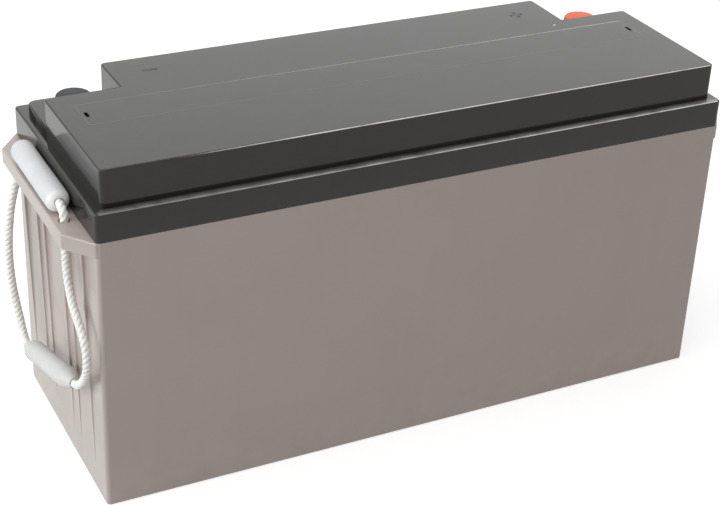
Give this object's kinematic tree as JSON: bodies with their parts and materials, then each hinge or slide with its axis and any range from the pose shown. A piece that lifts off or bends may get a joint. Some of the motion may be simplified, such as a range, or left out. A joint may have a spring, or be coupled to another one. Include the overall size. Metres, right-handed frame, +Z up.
{
  "type": "deep cycle battery",
  "caption": "Sealed deep cycle battery block with a stepped lid, covered screw terminals in the rear corners, ribbed ends and swinging rope handles.",
  "frame": {"origin": "middle of the underside, on the surface that the battery stands on", "axes": "+X along the case towards the positive terminal, +Y across the case towards the terminals' side, +Z up"},
  "size_m": [0.502, 0.17, 0.24],
  "materials": {
    "case_plastic": "glossy moulded grey plastic",
    "lid_plastic": "glossy moulded dark grey plastic",
    "sealing_resin": "black sealing resin",
    "red_resin": "red sealing resin",
    "valve_rubber": "black rubber",
    "positive_plate": "dark brown lead dioxide paste on a lead grid",
    "negative_plate": "grey spongy lead paste on a lead grid",
    "glass_mat": "white glass fibre mat",
    "lead": "dull cast lead",
    "terminal_metal": "tin-plated brass",
    "black_cap": "soft glossy black plastic",
    "red_cap": "soft glossy orange-red plastic",
    "white_tube": "smooth white plastic tube",
    "rope": "white twisted rope"
  },
  "bodies": {
    "battery": {"container": "case_plastic", "lid": "lid_plastic", "lid_seal": "sealing_resin", "vent_cover": "lid_plastic", "valve_cap_1": "valve_rubber", "valve_cap_2": "valve_rubber", "valve_cap_3": "valve_rubber", "valve_cap_4": "valve_rubber", "valve_cap_5": "valve_rubber", "valve_cap_6": "valve_rubber", "cell_1_positive_plates": "positive_plate", "cell_1_negative_plates": "negative_plate", "cell_1_glass_mats": "glass_mat", "cell_1_positive_strap": "lead", "cell_1_negative_strap": "lead", "cell_2_positive_plates": "positive_plate", "cell_2_negative_plates": "negative_plate", "cell_2_glass_mats": "glass_mat", "cell_2_positive_strap": "lead", "cell_2_negative_strap": "lead", "cell_3_positive_plates": "positive_plate", "cell_3_negative_plates": "negative_plate", "cell_3_glass_mats": "glass_mat", "cell_3_positive_strap": "lead", "cell_3_negative_strap": "lead", "cell_4_positive_plates": "positive_plate", "cell_4_negative_plates": "negative_plate", "cell_4_glass_mats": "glass_mat", "cell_4_positive_strap": "lead", "cell_4_negative_strap": "lead", "cell_5_positive_plates": "positive_plate", "cell_5_negative_plates": "negative_plate", "cell_5_glass_mats": "glass_mat", "cell_5_positive_strap": "lead", "cell_5_negative_strap": "lead", "cell_6_positive_plates": "positive_plate", "cell_6_negative_plates": "negative_plate", "cell_6_glass_mats": "glass_mat", "cell_6_positive_strap": "lead", "cell_6_negative_strap": "lead", "cell_links": "lead", "negative_terminal": "terminal_metal", "positive_terminal": "terminal_metal", "negative_seal": "sealing_resin", "positive_seal": "red_resin", "left_top_sleeve": "white_tube", "left_rope_anchor": "rope", "right_top_sleeve": "white_tube", "right_rope_anchor": "rope"},
    "left_handle": {"left_rope_loop": "rope", "left_hand_grip": "white_tube"},
    "right_handle": {"right_rope_loop": "rope", "right_hand_grip": "white_tube"},
    "negative_cover": {"negative_cap": "black_cap"},
    "positive_cover": {"positive_cap": "red_cap"}
  },
  "joints": [
    {"name": "left_handle_swing", "type": "hinge", "parent": "battery", "child": "left_handle", "pos_m": [-0.246, 0, 0.181], "axis": [0, 1, 0], "range_deg": [0, 175]},
    {"name": "right_handle_swing", "type": "hinge", "parent": "battery", "child": "right_handle", "pos_m": [0.246, 0, 0.181], "axis": [0, -1, 0], "range_deg": [0, 175]},
    {"name": "negative_cap_lift", "type": "slide", "parent": "battery", "child": "negative_cover", "axis": [0, 0, 1], "range_m": [0, 0.045]},
    {"name": "positive_cap_lift", "type": "slide", "parent": "battery", "child": "positive_cover", "axis": [0, 0, 1], "range_m": [0, 0.045]}
  ]
}
